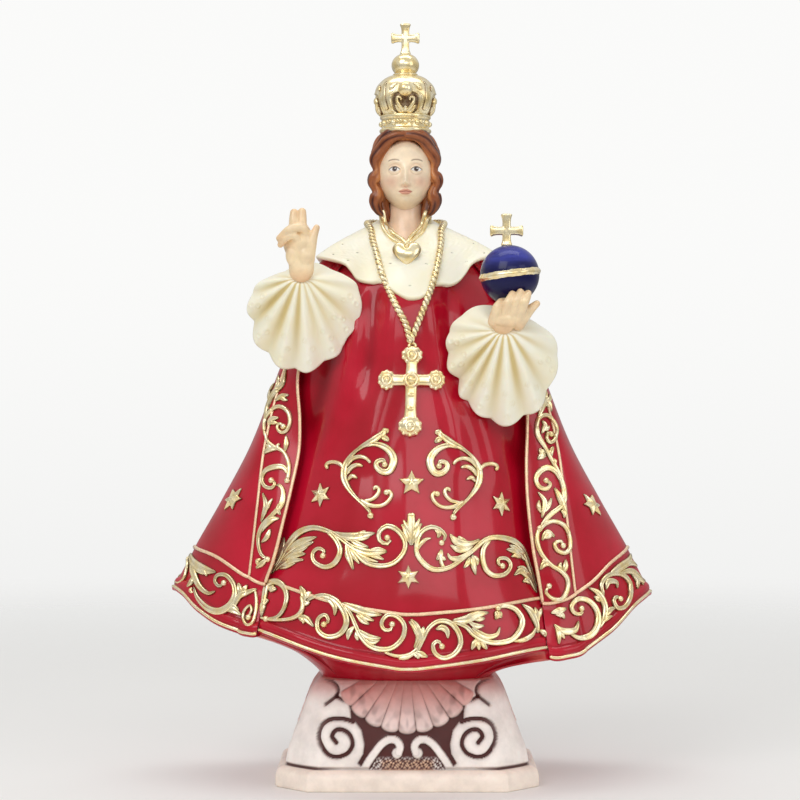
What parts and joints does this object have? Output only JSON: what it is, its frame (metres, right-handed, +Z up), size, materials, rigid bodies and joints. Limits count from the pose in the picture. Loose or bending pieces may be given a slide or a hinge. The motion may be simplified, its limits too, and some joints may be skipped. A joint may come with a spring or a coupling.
{
  "type": "infant of prague statue",
  "caption": "Glazed ceramic figure of the crowned infant king in a wide mantle, one hand raised, the other holding an orb, on a scrolled pedestal.",
  "frame": {"origin": "middle of the pedestal's flat underside", "axes": "+Z up through the figure to the crown; the figure faces -Y; +X is the side of the hand that holds the orb"},
  "size_m": [0.2875, 0.1496, 0.4515],
  "materials": {
    "red_glaze": "high gloss red glaze; cream cuffs and collar, gold scrollwork, painted face and hair, and an ivory pedestal with a brown wash in its hollows",
    "gold": "bright fired gold lustre over glazed ceramic",
    "blue_glaze": "brushed dark blue glaze with a gold band and cross"
  },
  "bodies": {
    "root": {"figure": "red_glaze", "crown": "gold", "orb": "blue_glaze"}
  },
  "joints": []
}
